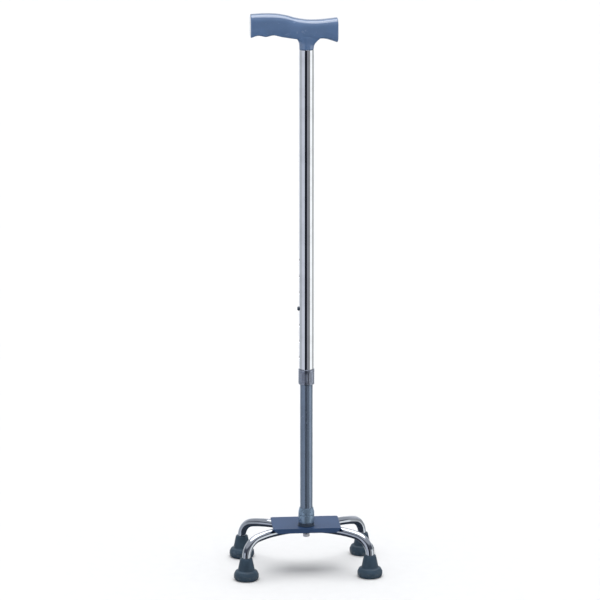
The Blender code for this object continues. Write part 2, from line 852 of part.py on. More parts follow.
make_handle()
make_rivet()
make_upper_tube()
make_lower_tube()
make_guide_bush()
make_snap_button()
make_button_spring()
make_lock_ring()
make_collet()
make_socket()
make_base_plate()
front_half = leg_path(
    FRONT_BOW_Y,
    FRONT_BOW_R,
    FRONT_BOW_DEG,
    -1.0,
    FOOT_X,
    FRONT_FOOT_Y,
    FRONT_BEND_R,
    FRONT_SLOPE_DEG,
)
rear_half = leg_path(
    REAR_BOW_Y,
    REAR_BOW_R,
    REAR_BOW_DEG,
    1.0,
    REAR_FOOT_X,
    REAR_FOOT_Y,
    REAR_BEND_R,
    REAR_SLOPE_DEG,
)
make_leg_tube("front_leg_tube", front_half)
make_leg_tube("rear_leg_tube", rear_half)
make_centre_bolt()
make_washer()
make_foot_plug()
for side, sign in (("left", -1.0), ("right", 1.0)):
    make_tip(side, "front", sign * FOOT_X, FRONT_FOOT_Y)
    make_tip(side, "rear", sign * REAR_FOOT_X, REAR_FOOT_Y)
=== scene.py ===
import math

import bmesh
import bpy
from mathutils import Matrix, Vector


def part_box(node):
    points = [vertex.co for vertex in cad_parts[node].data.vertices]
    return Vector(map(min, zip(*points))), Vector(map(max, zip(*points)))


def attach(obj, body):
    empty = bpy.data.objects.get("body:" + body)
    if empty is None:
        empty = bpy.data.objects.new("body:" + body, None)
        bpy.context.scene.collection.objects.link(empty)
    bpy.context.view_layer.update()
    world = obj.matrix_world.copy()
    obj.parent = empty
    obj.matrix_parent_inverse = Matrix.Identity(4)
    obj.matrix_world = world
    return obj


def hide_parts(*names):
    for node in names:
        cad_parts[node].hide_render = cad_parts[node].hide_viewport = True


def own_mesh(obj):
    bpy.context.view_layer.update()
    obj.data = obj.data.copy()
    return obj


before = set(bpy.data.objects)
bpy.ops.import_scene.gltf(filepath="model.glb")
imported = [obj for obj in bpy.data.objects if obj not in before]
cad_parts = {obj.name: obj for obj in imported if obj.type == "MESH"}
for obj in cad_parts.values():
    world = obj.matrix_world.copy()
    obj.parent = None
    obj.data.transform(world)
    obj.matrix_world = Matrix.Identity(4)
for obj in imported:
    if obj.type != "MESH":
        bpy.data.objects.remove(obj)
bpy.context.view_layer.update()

# Lengths are in millimetres up to build(), which makes each mesh in metres.
MM = 0.001


def middle(node, axis):
    """Middle of a CAD node's box along one axis, in millimetres."""
    low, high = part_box(node)
    return 0.5 * (low[axis] + high[axis]) / MM


def extent(node, axis):
    """Lowest and highest coordinate of a CAD node along one axis, in millimetres."""
    low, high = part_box(node)
    return low[axis] / MM, high[axis] / MM


def radius_of(node):
    """Radius of a round upright CAD node, in millimetres."""
    low, high = extent(node, 0)
    return 0.5 * (high - low)


SHAFT_Y = middle("upper_tube", 1)
UPPER_LOW, UPPER_HIGH = extent("upper_tube", 2)
UPPER_R = radius_of("upper_tube")
LOWER_LOW, LOWER_HIGH = extent("lower_tube", 2)
LOWER_R = radius_of("lower_tube")
RING_LOW, RING_HIGH = extent("lock_ring", 2)
RING_R = radius_of("lock_ring")
PLATE_LOW, PLATE_HIGH = extent("base_plate", 2)
BUTTON_Z = middle("snap_button", 2)
BUTTON_TIP = extent("snap_button", 0)[0]
RIVET_Z = middle("handle_rivet", 2)
WALL = 1.2
# Stands for zero where a turned profile ends on its axis.
AXIS_R = 0.01

# ---------------------------------------------------------------- mesh helpers


def rounded(points, radii, closed=False, steps=4):
    """A polyline whose corners are rounded. Points are tuples or Vectors of any length."""
    points = [Vector(p) for p in points]
    count = len(points)
    out = []
    for i, here in enumerate(points):
        radius = radii[i] if isinstance(radii, (list, tuple)) else radii
        end = not closed and i in (0, count - 1)
        if end or radius <= 0:
            out.append(here)
            continue
        before = points[i - 1] - here
        after = points[(i + 1) % count] - here
        a, b = before.normalized(), after.normalized()
        angle = a.angle(b)
        if angle > math.radians(176):
            out.append(here)
            continue
        reach = radius / math.tan(0.5 * angle)
        reach = min(reach, 0.48 * before.length, 0.48 * after.length)
        radius = reach * math.tan(0.5 * angle)
        centre = here + (a + b).normalized() * (radius / math.sin(0.5 * angle))
        start = here + a * reach - centre
        stop = here + b * reach - centre
        turn = start.angle(stop)
        for k in range(steps + 1):
            t = k / steps
            mix = start * math.sin((1 - t) * turn) + stop * math.sin(t * turn)
            out.append(centre + mix / math.sin(turn))
    return out


def skin(bm, loops, closed):
    """Joins loops of equal length with quads."""
    rows = [[bm.verts.new(p) for p in loop] for loop in loops]
    pairs = list(zip(rows, rows[1:]))
    if closed:
        pairs.append((rows[-1], rows[0]))
    count = len(rows[0])
    for low, high in pairs:
        for i in range(count):
            j = (i + 1) % count
            bm.faces.new((low[i], low[j], high[j], high[i]))
    if not closed:
        bm.faces.new(list(reversed(rows[0])))
        bm.faces.new(rows[-1])


def build(name, bm, sharp=32.0, smooth=True):
    """A named object in metres from a bmesh in millimetres, with sharp edges where it is sharp."""
    bmesh.ops.scale(bm, vec=(MM, MM, MM), verts=bm.verts)
    bmesh.ops.recalc_face_normals(bm, faces=bm.faces)
    mesh = bpy.data.meshes.new(name)
    bm.to_mesh(mesh)
    bm.free()
    obj = bpy.data.objects.new(name, mesh)
    bpy.context.scene.collection.objects.link(obj)
    shade(obj, sharp, smooth)
    return obj


def shade(obj, sharp=32.0, smooth=True):
    """Smooth faces, with every edge sharper than the given angle kept sharp."""
    bm = bmesh.new()
    bm.from_mesh(obj.data)
    limit = math.radians(sharp)
    for face in bm.faces:
        face.smooth = smooth
    for edge in bm.edges:
        edge.smooth = len(edge.link_faces) == 2 and edge.calc_face_angle(0.0) < limit
    bm.to_mesh(obj.data)
    bm.free()


def circle(count):
    """Angles that go evenly once round."""
    return [2 * math.pi * i / count for i in range(count)]


def ring(radius, z, count, centre=None):
    """A level circle of points, about the shaft unless a centre is given."""
    cx, cy = centre if centre else (0.0, SHAFT_Y)
    return [Vector((cx + radius * math.cos(t), cy + radius * math.sin(t), z)) for t in circle(count)]


def lathe(name, profile, radii=0.3, count=96, centre=None, hollow=False, steps=4, sharp=32.0):
    """A turned upright piece with rounded profile corners, from (radius, z) pairs."""
    line = rounded(profile, radii, closed=hollow, steps=steps)
    bm = bmesh.new()
    skin(bm, [ring(p[0], p[1], count, centre) for p in line], hollow)
    return build(name, bm, sharp)


def lathe_x(name, profile, radii, z):
    """A turned piece about an axis along X through the shaft, from (x, radius) pairs."""
    bm = bmesh.new()
    loops = []
    for x, radius in rounded(profile, radii):
        loop = []
        for t in circle(48):
            loop.append(Vector((x, SHAFT_Y + radius * math.cos(t), z + radius * math.sin(t))))
        loops.append(loop)
    skin(bm, loops, False)
    return build(name, bm)


def lathe_y(name, profile, radii, z):
    """A turned piece about an axis along Y, from (y, radius) pairs."""
    bm = bmesh.new()
    loops = []
    for y, radius in rounded(profile, radii):
        loop = []
        for t in circle(40):
            loop.append(Vector((radius * math.cos(t), y, z + radius * math.sin(t))))
        loops.append(loop)
    skin(bm, loops, False)
    return build(name, bm)


def prism(name, outline, low, high, axis=2):
    """A closed outline swept straight along an axis. The outline gives the other two coordinates."""
    bm = bmesh.new()
    loops = []
    for level in (low, high):
        loop = []
        for a, b in outline:
            corner = [a, b]
            corner.insert(axis, level)
            loop.append(Vector(corner))
        loops.append(loop)
    skin(bm, loops, False)
    return build(name, bm, smooth=False)


def apply_all(obj):
    """Turns an object's modifiers into plain mesh."""
    graph = bpy.context.evaluated_depsgraph_get()
    mesh = bpy.data.meshes.new_from_object(obj.evaluated_get(graph))
    obj.modifiers.clear()
    obj.data = mesh


def combine(obj, others, operation):
    """Cuts or joins other shapes into one, and removes them."""
    for other in others:
        mod = obj.modifiers.new("solid", "BOOLEAN")
        mod.operation = operation
        mod.solver = "EXACT"
        mod.object = other
    apply_all(obj)
    for other in others:
        bpy.data.objects.remove(other, do_unlink=True)


def bevel(obj, width, segments, angle=38.0):
    """Rounds every edge sharper than the given angle."""
    mod = obj.modifiers.new("edges", "BEVEL")
    mod.width = width * MM
    mod.segments = segments
    mod.limit_method = "ANGLE"
    mod.angle_limit = math.radians(angle)
    apply_all(obj)


def level_normals(obj):
    """Flat faces shade flat, and only the rounded edges between them turn."""
    mod = obj.modifiers.new("normals", "WEIGHTED_NORMAL")
    mod.keep_sharp = True
    apply_all(obj)


def round_normals(obj, radius):
    """Exact normals on the round wall of a tube that holes were cut in."""
    mesh = obj.data
    normals = [Vector(n.vector) for n in mesh.corner_normals]
    for face in mesh.polygons:
        corners = [mesh.vertices[v].co / MM for v in face.vertices]
        if any(abs(math.hypot(c.x, c.y - SHAFT_Y) - radius) > 0.03 for c in corners):
            continue
        for loop in face.loop_indices:
            co = mesh.vertices[mesh.loops[loop].vertex_index].co / MM
            normals[loop] = Vector((co.x, co.y - SHAFT_Y, 0.0)).normalized()
    mesh.normals_split_custom_set(normals)


def sweep(name, path, radius, count, start_up=Vector((0.0, 1.0, 0.0))):
    """A round bar along a path, square at its ends and without twist."""
    loops = []
    side = start_up
    for i, point in enumerate(path):
        before = path[max(i - 1, 0)]
        after = path[min(i + 1, len(path) - 1)]
        along = (after - before).normalized()
        side = (side - along * side.dot(along)).normalized()
        other = along.cross(side)
        r = radius(i / (len(path) - 1)) if callable(radius) else radius
        turns = circle(count)
        loops.append([point + (side * math.cos(t) + other * math.sin(t)) * r for t in turns])
    bm = bmesh.new()
    skin(bm, loops, False)
    return build(name, bm)


# ---------------------------------------------------------------- materials


class Paint:
    """A material being put together from nodes."""

    def __init__(self, name):
        self.material = bpy.data.materials.new(name)
        self.material.use_nodes = True
        self.tree = self.material.node_tree
        self.shader = self.tree.nodes["Principled BSDF"]
        self.coords = self.tree.nodes.new("ShaderNodeTexCoord").outputs["Object"]

    def node(self, kind, **values):
        """A new shader node, with its settings."""
        made = self.tree.nodes.new(kind)
        for key, value in values.items():
            setattr(made, key, value)
        return made

    def link(self, source, target):
        self.tree.links.new(source, target)

    def scaled(self, scale, offset):
        """The object's own coordinates, stretched and shifted."""
        mapping = self.node("ShaderNodeMapping")
        mapping.inputs["Scale"].default_value = scale
        mapping.inputs["Location"].default_value = offset
        self.link(self.coords, mapping.inputs["Vector"])
        return mapping.outputs["Vector"]

    def noise(self, scale, stretch=(1.0, 1.0, 1.0), detail=4.0, rough=0.55, offset=(0, 0, 0)):
        """Noise over the object's own coordinates, from 0 to 1."""
        tex = self.node("ShaderNodeTexNoise")
        tex.inputs["Scale"].default_value = scale
        tex.inputs["Detail"].default_value = detail
        tex.inputs["Roughness"].default_value = rough
        self.link(self.scaled(stretch, offset), tex.inputs["Vector"])
        return tex.outputs["Fac"]

    def ramp(self, value, low, high, to_low=0.0, to_high=1.0):
        """A smooth step from one level to another."""
        made = self.node("ShaderNodeMapRange")
        made.interpolation_type = "SMOOTHSTEP"
        made.inputs["From Min"].default_value = low
        made.inputs["From Max"].default_value = high
        made.inputs["To Min"].default_value = to_low
        made.inputs["To Max"].default_value = to_high
        self.link(value, made.inputs["Value"])
        return made.outputs["Result"]

    def math(self, operation, a, b):
        """One sum on two values, each a number or a socket."""
        made = self.node("ShaderNodeMath", operation=operation)
        for socket, value in zip(made.inputs, (a, b)):
            if isinstance(value, (int, float)):
                socket.default_value = value
            else:
                self.link(value, socket)
        return made.outputs[0]

    def mix(self, factor, a, b):
        """A blend of two colours, each a plain colour or a socket."""
        made = self.node("ShaderNodeMix", data_type="RGBA")
        self.link(factor, made.inputs["Factor"])
        for name, value in (("A", a), ("B", b)):
            socket = [s for s in made.inputs if s.name == name and s.type == "RGBA"][0]
            if isinstance(value, tuple):
                socket.default_value = (*value, 1.0)
            else:
                self.link(value, socket)
        return [s for s in made.outputs if s.type == "RGBA"][0]

    def bump(self, height, distance, strength, under=None):
        """Fine relief in the surface, on top of another bump if one is given."""
        made = self.node("ShaderNodeBump")
        made.inputs["Distance"].default_value = distance
        made.inputs["Strength"].default_value = strength
        self.link(height, made.inputs["Height"])
        if under is not None:
            self.link(under, made.inputs["Normal"])
        return made.outputs["Normal"]

    def axis(self, index):
        """One of the object's own coordinates."""
        split = self.node("ShaderNodeSeparateXYZ")
        self.link(self.coords, split.inputs["Vector"])
        return split.outputs[index]

    def set(self, name, value):
        """A value that is the same all over, on the shader's own socket."""
        self.shader.inputs[name].default_value = value

    def wire(self, name, source):
        """A value that varies over the surface."""
        self.link(source, self.shader.inputs[name])


def tone(colour, factor):
    """A colour made darker or lighter."""
    return tuple(c * factor for c in colour)


def polished(name, colour, rough, smudge=0.10, drawn=0.35, scuffs=0.5, metallic=1.0):
    """Plated, polished tube: faint drawing lines, finger marks and a few fine scratches."""
    p = Paint(name)
    patches = p.ramp(p.noise(42.0, detail=6.0, rough=0.6), 0.42, 0.72)
    p.wire("Base Color", p.mix(patches, colour, tone(colour, 0.90)))
    p.set("Metallic", metallic)
    lines = p.noise(1.0, (900.0, 900.0, 26.0), detail=2.0)
    scratch = p.ramp(p.noise(1.0, (420.0, 420.0, 70.0), detail=3.0, offset=(3, 5, 2)), 0.69, 0.75)
    haze = p.math("MULTIPLY", patches, smudge)
    marks = p.math("MULTIPLY", scratch, 0.22 * scuffs)
    total = p.math("ADD", p.math("ADD", haze, marks), rough)
    p.wire("Roughness", total)
    first = p.bump(lines, 0.00002, drawn)
    p.wire("Normal", p.bump(scratch, 0.00002, 0.25 * scuffs, first))
    return p.material


def moulded(name, colour, rough, seam_y):
    """Glossy moulded plastic: orange peel, finger polish, fine scratches and a parting line."""
    p = Paint(name)
    cloud = p.ramp(p.noise(26.0, detail=5.0), 0.35, 0.7)
    warm = p.mix(cloud, tone(colour, 0.93), tone(colour, 1.07))
    scratch = p.ramp(p.noise(1.0, (60.0, 420.0, 420.0), detail=3.0, offset=(1, 2, 3)), 0.70, 0.76)
    p.wire("Base Color", p.mix(scratch, warm, tone(colour, 1.5)))
    smudge = p.ramp(p.noise(75.0, detail=6.0, rough=0.65, offset=(7, 1, 4)), 0.45, 0.75)
    haze = p.math("MULTIPLY", smudge, 0.13)
    total = p.math("ADD", p.math("ADD", haze, p.math("MULTIPLY", scratch, 0.15)), rough)
    p.wire("Roughness", total)
    peel = p.bump(p.noise(1100.0, detail=2.0), 0.00006, 0.25)
    wave = p.bump(p.noise(120.0, detail=2.0), 0.0002, 0.12, peel)
    away = p.math("ABSOLUTE", p.math("SUBTRACT", p.axis(1), seam_y * MM), 0.0)
    seam = p.ramp(away, 0.00010, 0.00042, 1.0, 0.0)
    p.wire("Normal", p.bump(seam, 0.00018, 0.55, wave))
    p.set("IOR", 1.5)
    p.set("Coat Weight", 0.8)
    p.set("Coat Roughness", 0.10)
    p.set("Coat IOR", 1.6)
    return p.material


def painted(name, colour, rough, worn):
    """Stoved paint on pressed steel: fine peel, tone drift, rubbed and chipped specks."""
    p = Paint(name)
    drift = p.ramp(p.noise(18.0, detail=4.0), 0.3, 0.7)
    base = p.mix(drift, tone(colour, 0.94), tone(colour, 1.06))
    chips = p.ramp(p.noise(330.0, detail=5.0, rough=0.7, offset=(2, 9, 1)), 0.735, 0.76)
    rubbed = p.ramp(p.noise(55.0, detail=6.0, rough=0.7, offset=(5, 3, 8)), 0.60, 0.80)
    base = p.mix(p.math("MULTIPLY", rubbed, 0.3), base, tone(colour, 1.45))
    p.wire("Base Color", p.mix(chips, base, worn))
    p.set("Specular IOR Level", 0.2)
    haze = p.math("MULTIPLY", rubbed, 0.16)
    p.wire("Roughness", p.math("ADD", haze, rough))
    peel = p.bump(p.noise(620.0, detail=2.0), 0.00007, 0.30)
    p.wire("Normal", p.bump(chips, 0.00006, -0.5, peel))
    return p.material


def rubber(name, colour):
    """Moulded rubber: pebbled skin, grey bloom, and floor dust low on the tip."""
    p = Paint(name)
    cloud = p.ramp(p.noise(60.0, detail=6.0, rough=0.65), 0.35, 0.75)
    base = p.mix(cloud, tone(colour, 0.85), tone(colour, 1.18))
    height = p.ramp(p.axis(2), 0.0, 0.016, 1.0, 0.0)
    grit = p.ramp(p.noise(210.0, detail=6.0, rough=0.7, offset=(4, 4, 1)), 0.48, 0.74)
    dust = p.math("MULTIPLY", p.math("MULTIPLY", height, grit), 0.45)
    p.wire("Base Color", p.mix(dust, base, (0.22, 0.21, 0.19)))
    p.wire("Roughness", p.ramp(cloud, 0.0, 1.0, 0.46, 0.66))
    p.set("Specular IOR Level", 0.3)
    pebble = p.bump(p.noise(900.0, detail=3.0), 0.00012, 0.45)
    p.wire("Normal", p.bump(p.noise(160.0, detail=3.0), 0.0003, 0.12, pebble))
    return p.material


def satin_ring(name, colour):
    """Anodised aluminium with lathe lines running round it."""
    p = Paint(name)
    drift = p.ramp(p.noise(70.0, detail=5.0), 0.35, 0.72)
    rub = p.ramp(p.noise(380.0, detail=5.0, rough=0.7, offset=(8, 2, 6)), 0.66, 0.74)
    base = p.mix(drift, tone(colour, 0.93), tone(colour, 1.06))
    p.wire("Base Color", p.mix(rub, base, (0.62, 0.64, 0.67)))
    p.set("Metallic", 1.0)
    turned_lines = p.noise(1.0, (12.0, 12.0, 5200.0), detail=2.0)
    p.wire("Roughness", p.ramp(turned_lines, 0.3, 0.7, 0.24, 0.38))
    p.wire("Normal", p.bump(turned_lines, 0.00002, 0.5))
    return p.material


def machined(name, colour, rough):
    """Zinc-plated or bare machined steel with fine grain and a little stain."""
    p = Paint(name)
    stain = p.ramp(p.noise(140.0, detail=6.0, rough=0.7), 0.45, 0.75)
    p.wire("Base Color", p.mix(stain, colour, tone(colour, 0.72)))
    p.set("Metallic", 1.0)
    grain = p.noise(1500.0, detail=3.0)
    p.wire("Roughness", p.ramp(grain, 0.3, 0.7, rough - 0.06, rough + 0.12))
    p.wire("Normal", p.bump(grain, 0.00004, 0.35))
    return p.material


def acetal(name, colour, rough):
    """Satin engineering plastic with faint tool marks."""
    p = Paint(name)
    cloud = p.ramp(p.noise(110.0, detail=5.0), 0.35, 0.7)
    p.wire("Base Color", p.mix(cloud, tone(colour, 0.90), tone(colour, 1.05)))
    rings = p.noise(1.0, (30.0, 30.0, 2600.0), detail=2.0)
    p.wire("Roughness", p.ramp(rings, 0.3, 0.7, rough - 0.06, rough + 0.1))
    p.wire("Normal", p.bump(rings, 0.00003, 0.4))
    return p.material


GRIP = moulded("grip_plastic", (0.078, 0.136, 0.255), 0.20, seam_y=SHAFT_Y)
CHROME = polished("tube_chrome", (0.78, 0.79, 0.82), 0.035, smudge=0.07, drawn=0.22)
DARK = polished("inner_tube_chrome", (0.180, 0.228, 0.305), 0.19, scuffs=0.8, metallic=0.75)
# The leg chrome is a darker copy of the tube chrome: painted shade that holds down the overhead
# light on the legs.
SHADED_LEG_CHROME = polished("leg_chrome_painted_shade", (0.50, 0.53, 0.58), 0.08, smudge=0.10)
RING = satin_ring("anodised_ring", (0.34, 0.37, 0.45))
PLATE = painted("plate_paint_coat", (0.024, 0.052, 0.118), 0.42, (0.26, 0.27, 0.29))
SOCKET = polished("socket_plating", (0.215, 0.300, 0.405), 0.24, smudge=0.12, metallic=0.7)
BLACK = acetal("dark_moulding", (0.018, 0.032, 0.055), 0.34)
WHITE = acetal("pale_acetal", (0.62, 0.62, 0.58), 0.42)
RUBBER = rubber("tip_rubber", (0.023, 0.045, 0.070))
STEEL = machined("plated_steel", (0.56, 0.56, 0.58), 0.28)
SPRING = machined("spring_steel_strip", (0.36, 0.36, 0.38), 0.22)
WELD = machined("weld_metal", (0.26, 0.27, 0.30), 0.40)


def place(obj, material, body, slot, *nodes):
    """Gives a finished piece its material and its body, and hides the CAD nodes it stands for. The
    slot argument is not used.
    """
    obj.data.materials.clear()
    obj.data.materials.append(material)
    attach(obj, body)
    if nodes:
        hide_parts(*nodes)
    return obj


# ---------------------------------------------------------------- handle

# Top and under lines of the grip, as (x, z).
GRIP_TOP_LINE = (
    (-82.0, 860.2),
    (-68.0, 860.93),
    (-48.0, 860.6),
    (-32.0, 858.3),
    (-14.0, 853.3),
    (3.0, 850.9),
    (22.0, 851.1),
    (45.0, 853.4),
)
GRIP_UNDER_LINE = (
    (-82.0, 824.8),
    (-72.0, 828.0),
    (-60.5, 826.0),
    (-49.0, 828.2),
    (-36.0, 825.3),
    (-8.0, 821.2),
    (10.0, 821.1),
    (26.0, 822.5),
    (45.0, 816.9),
)
GRIP_HALF_WIDTH = 14.0
GRIP_END_SWELL = 0.5
GRIP_SWELL_FROM = 30.0
GRIP_SQUARENESS = 2.7
GRIP_STATIONS = 96
# Roundings of the grip's ends, as (step out, inset).
GRIP_END_EDGES = ((1.25, 1.25), (1.05, 0.6), (0.6, 0.15))
# Rows of the neck from the tube upward, as (z, reach to the left, to the right, half width).
NECK = (
    (806.9, 10.95, 10.95, 10.95),
    (812.0, 10.98, 11.7, 10.98),
    (815.0, 11.3, 13.2, 11.2),
    (818.0, 12.2, 15.6, 11.6),
    (821.0, 13.9, 18.9, 12.1),
    (824.0, 16.6, 22.4, 12.6),
    (828.0, 19.5, 24.5, 12.8),
    (834.0, 19.5, 24.5, 12.0),
)


SPIGOT_R = 9.5
SPIGOT_LOW = 768.0
SPIGOT_HIGH = 808.0


def spline(rows, t):
    """Catmull-Rom value at t, where whole numbers are the rows."""
    i = min(int(t), len(rows) - 2)
    f = t - i
    a, b, c, d = (rows[min(max(i + k, 0), len(rows) - 1)] for k in (-1, 0, 1, 2))
    out = []
    for p0, p1, p2, p3 in zip(a, b, c, d):
        out.append(
            0.5
            * (
                2 * p1
                + (p2 - p0) * f
                + (2 * p0 - 5 * p1 + 4 * p2 - p3) * f * f
                + (3 * p1 - p0 - 3 * p2 + p3) * f ** 3
            )
        )
    return out


def line_slope(points, i):
    """Slope of a smooth line at one of its points."""
    before = points[max(i - 1, 0)]
    after = points[min(i + 1, len(points) - 1)]
    return (after[1] - before[1]) / (after[0] - before[0])


def line_height(points, x):
    """Height at x of the smooth line through a few points."""
    i = 0
    while i < len(points) - 2 and x > points[i + 1][0]:
        i += 1
    width = points[i + 1][0] - points[i][0]
    t = (x - points[i][0]) / width
    start = points[i][1]
    rise = points[i + 1][1] - start
    lift_in = line_slope(points, i) * width
    lift_out = line_slope(points, i + 1) * width
    bend = lift_in + lift_out - 2.0 * rise
    return start + t * (lift_in + t * (3.0 * rise - 2.0 * lift_in - lift_out + t * bend))


def grip_section(x, inset, step):
    """One rounded cross-section of the grip, set in from its lines near the ends."""
    top = line_height(GRIP_TOP_LINE, x) - inset
    under = line_height(GRIP_UNDER_LINE, x) + inset
    swell = max(0.0, (x - GRIP_SWELL_FROM) / (GRIP_TOP_LINE[-1][0] - GRIP_SWELL_FROM))
    half = GRIP_HALF_WIDTH + GRIP_END_SWELL * swell - inset
    power = 2.0 / GRIP_SQUARENESS
    loop = []
    for t in circle(80):
        c, s = math.cos(t), math.sin(t)
        y = half * math.copysign(abs(c) ** power, c)
        z = 0.5 * (top - under) * math.copysign(abs(s) ** power, s)
        loop.append(Vector((x + step, SHAFT_Y + y, 0.5 * (top + under) + z)))
    return loop


def make_grip():
    """The grip and its neck, blended into one skin by a fine remesh."""
    left, right = GRIP_TOP_LINE[0][0], GRIP_TOP_LINE[-1][0]
    loops = [grip_section(left, inset, -step) for step, inset in GRIP_END_EDGES]
    for i in range(GRIP_STATIONS + 1):
        loops.append(grip_section(left + (right - left) * i / GRIP_STATIONS, 0.0, 0.0))
    loops += [grip_section(right, inset, step) for step, inset in reversed(GRIP_END_EDGES)]
    bm = bmesh.new()
    skin(bm, loops, False)
    bar = build("handle_grip", bm)
    rows = [spline(NECK, k / 3) for k in range(3 * (len(NECK) - 1) + 1)]
    bm = bmesh.new()
    loops = []
    for z, left_reach, right_reach, half in rows:
        loop = []
        for t in circle(96):
            reach = right_reach if math.cos(t) > 0 else left_reach
            loop.append(Vector((reach * math.cos(t), SHAFT_Y + half * math.sin(t), z)))
        loops.append(loop)
    skin(bm, loops, False)
    neck = build("neck_blank", bm)
    combine(bar, [neck], "UNION")
    mod = bar.modifiers.new("skin", "REMESH")
    mod.mode = "VOXEL"
    mod.voxel_size = 0.7 * MM
    mod = bar.modifiers.new("soften", "SMOOTH")
    mod.factor = 0.5
    mod.iterations = 4
    apply_all(bar)
    shade(bar, 60.0)
    return bar


def make_spigot():
    """The part of the moulding that goes down inside the upper tube."""
    profile = (
        (AXIS_R, SPIGOT_LOW),
        (SPIGOT_R, SPIGOT_LOW),
        (SPIGOT_R, SPIGOT_HIGH),
        (AXIS_R, SPIGOT_HIGH),
    )
    return lathe("handle_spigot", profile, [0, 1.2, 0.1, 0], count=64)


place(make_grip(), GRIP, "upper", "handle_plastic", "handle")
place(make_spigot(), GRIP, "upper", "handle_plastic")

# ---------------------------------------------------------------- tubes


HOLE_R = 3.6
HOLE_PITCH = 25.0
HOLES_EACH_WAY = 3
THREAD_R = 10.7
THREAD_TOP = 318.9


def hole_cutters(heights):
    """Bars that cut the button holes through the left wall of a tube."""
    bar = ((-20.0, HOLE_R), (-2.0, HOLE_R))
    return [lathe_x(f"hole_blank_{k}", bar, 0, z) for k, z in enumerate(heights)]


def make_upper():
    """The outer tube, turned down at its foot under the lock ring, with its row of holes."""
    inner = UPPER_R - WALL
    profile = (
        (THREAD_R, UPPER_LOW),
        (THREAD_R, THREAD_TOP),
        (UPPER_R, THREAD_TOP + 0.5),
        (UPPER_R, UPPER_HIGH),
        (inner, UPPER_HIGH),
        (inner, UPPER_LOW),
    )
    radii = [0.3, 0.2, 0.2, 0.3, 0.3, 0.3]
    tube = lathe("outer_tube", profile, radii, count=128, hollow=True)
    steps = range(-HOLES_EACH_WAY, HOLES_EACH_WAY + 1)
    cutters = hole_cutters([BUTTON_Z + HOLE_PITCH * k for k in steps])
    combine(tube, cutters, "DIFFERENCE")
    bevel(tube, 0.22, 2, 50.0)
    shade(tube, 40.0)
    round_normals(tube, UPPER_R)
    return tube


def make_lower():
    """The inner tube, with the one hole that the button stands in."""
    inner = LOWER_R - WALL
    profile = (
        (LOWER_R, LOWER_LOW),
        (LOWER_R, LOWER_HIGH),
        (inner, LOWER_HIGH),
        (inner, LOWER_LOW),
    )
    tube = lathe("inner_tube", profile, 0.35, count=128, hollow=True)
    combine(tube, hole_cutters([BUTTON_Z]), "DIFFERENCE")
    bevel(tube, 0.2, 2, 50.0)
    shade(tube, 40.0)
    round_normals(tube, LOWER_R)
    return tube


BUTTON_R = 3.2
BUTTON_FLANGE_R = 4.15
BUTTON_FLANGE_X = -6.8
BUTTON_BACK_X = -5.85


def make_button():
    """The button: a domed pin with a flange that rests inside the lower tube."""
    profile = (
        (BUTTON_TIP + 0.001, AXIS_R),
        (BUTTON_TIP, 2.3),
        (BUTTON_TIP + 1.5, BUTTON_R),
        (BUTTON_FLANGE_X, BUTTON_R),
        (BUTTON_FLANGE_X, BUTTON_FLANGE_R),
        (BUTTON_BACK_X, BUTTON_FLANGE_R),
        (BUTTON_BACK_X, AXIS_R),
    )
    return lathe_x("snap_button_pin", profile, [0, 1.3, 1.2, 0.2, 0.2, 0.3, 0], BUTTON_Z)


LEAF_NEAR = -5.25
LEAF_FAR = 7.65
LEAF_LOW = BUTTON_Z - 34.0
LEAF_BEND_R = 3.2
LEAF_HALF_WIDTH = 3.0
LEAF_THICK = 0.5


def make_spring():
    """The bent leaf behind the button: one leg on the button, one on the far wall of the tube."""
    line = [
        (LEAF_NEAR, BUTTON_Z + 5.0),
        (LEAF_NEAR, BUTTON_Z - 6.0),
        (LEAF_NEAR + 1.0, BUTTON_Z - 18.0),
    ]
    for i in range(9):
        turn = math.pi * (1.0 - i / 8)
        x = LEAF_NEAR + 5.6 + LEAF_BEND_R * math.cos(turn)
        line.append((x, LEAF_LOW - LEAF_BEND_R * math.sin(turn)))
    line += [
        (LEAF_FAR - 1.8, BUTTON_Z - 18.0),
        (LEAF_FAR - 0.5, BUTTON_Z - 6.0),
        (LEAF_FAR - 0.3, BUTTON_Z + 2.0),
        (LEAF_FAR - 1.2, BUTTON_Z + 8.0),
    ]
    path = rounded(line, 6.0, steps=3)
    loops = []
    for i, point in enumerate(path):
        along = (path[min(i + 1, len(path) - 1)] - path[max(i - 1, 0)]).normalized()
        side = 0.5 * LEAF_THICK * Vector((along.y, -along.x))
        loop = []
        for face, edge in ((1, -1), (1, 1), (-1, 1), (-1, -1)):
            x, z = point + face * side
            loop.append(Vector((x, SHAFT_Y + edge * LEAF_HALF_WIDTH, z)))
        loops.append(loop)
    bm = bmesh.new()
    skin(bm, loops, False)
    leaf = build("button_spring_leaf", bm)
    bevel(leaf, 0.08, 2)
    shade(leaf)
    return leaf


def make_rivet():
    """The rivet through the back wall of the tube, with a low domed head."""
    face = SHAFT_Y + UPPER_R + 0.3
    profile = (
        (SHAFT_Y, AXIS_R),
        (SHAFT_Y, 2.3),
        (face, 2.3),
        (face, 4.5),
        (face + 0.9, 4.3),
        (face + 1.65, 1.6),
        (face + 1.7, AXIS_R),
    )
    return lathe_y("handle_rivet_head", profile, [0, 0.4, 0.1, 0.3, 0.6, 0.5, 0], RIVET_Z)


place(make_upper(), CHROME, "upper", "chrome", "upper_tube")
place(make_lower(), DARK, "base", "dark_chrome", "lower_tube")
place(make_button(), BLACK, "button", "black_plastic", "snap_button")
place(make_rivet(), STEEL, "upper", "steel", "handle_rivet")
# The leaf rides with the base body and gets a mesh of its own.
LEAF = place(make_spring(), SPRING, "base", "spring_steel", "button_spring")
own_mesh(LEAF)

# ---------------------------------------------------------------- lock ring and socket


RING_FLUTES = 20
RING_FLUTE_DEPTH = 0.42
RING_GROOVE_R = RING_R - 0.22
RING_BORE_R = 11.0
RING_LIP_R = 9.86


